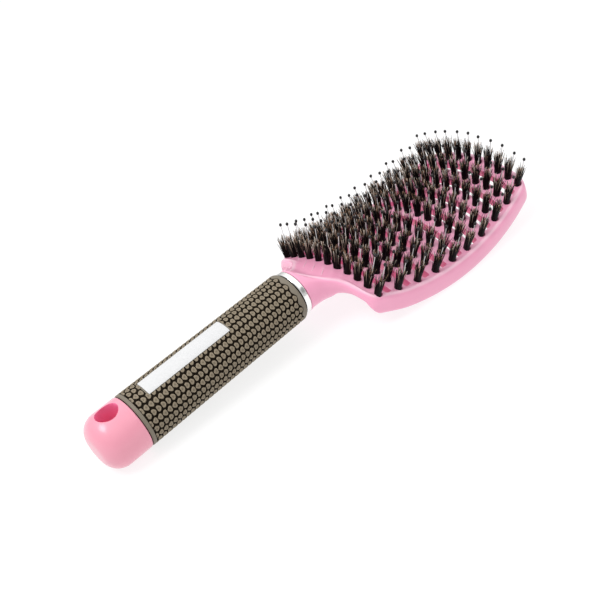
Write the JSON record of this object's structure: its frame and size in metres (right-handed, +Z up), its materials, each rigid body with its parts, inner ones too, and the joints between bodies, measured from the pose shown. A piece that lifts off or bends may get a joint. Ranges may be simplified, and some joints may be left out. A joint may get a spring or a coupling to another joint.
{
  "type": "curved vented hair brush",
  "caption": "Curved vented hair brush with rows of bristle tufts and ball-tipped pins on a moulded head, metal neck ring, bumpy grip sleeve and end cap with hanging hole.",
  "frame": {"origin": "under the middle of the whole brush, on the surface it lies on", "axes": "+X from the end cap towards the head's tip, +Z up, the way the bristles point, with the brush lying on its back; the handle rises about 4.6 degrees towards the head"},
  "size_m": [0.2482, 0.0808, 0.0428],
  "materials": {
    "pink_abs": "glossy moulded plastic",
    "core_plastic": "plain moulded plastic, hidden",
    "taupe_rubber": "matt rubber with raised bumps",
    "silver_ring": "bright plated band",
    "white_label": "blank white label",
    "bristle": "natural and nylon bristle hair, dark with pale tips",
    "nylon": "nylon pins with black ball tips"
  },
  "bodies": {
    "root": {"head_frame": "pink_abs", "end_cap": "pink_abs", "handle_core": "core_plastic", "grip_sleeve": "taupe_rubber", "neck_ring": "silver_ring", "label_plate": "white_label", "tuft_row_01": "bristle", "tuft_row_02": "bristle", "tuft_row_03": "bristle", "tuft_row_04": "bristle", "tuft_row_05": "bristle", "tuft_row_06": "bristle", "tuft_row_07": "bristle", "tuft_row_08": "bristle", "tuft_row_09": "bristle", "tuft_row_10": "bristle", "pin_row_01": "nylon", "pin_row_02": "nylon", "pin_row_03": "nylon", "pin_row_04": "nylon", "pin_row_05": "nylon", "pin_row_06": "nylon", "pin_row_07": "nylon", "pin_row_08": "nylon", "pin_row_09": "nylon", "pin_row_10": "nylon"}
  },
  "joints": []
}
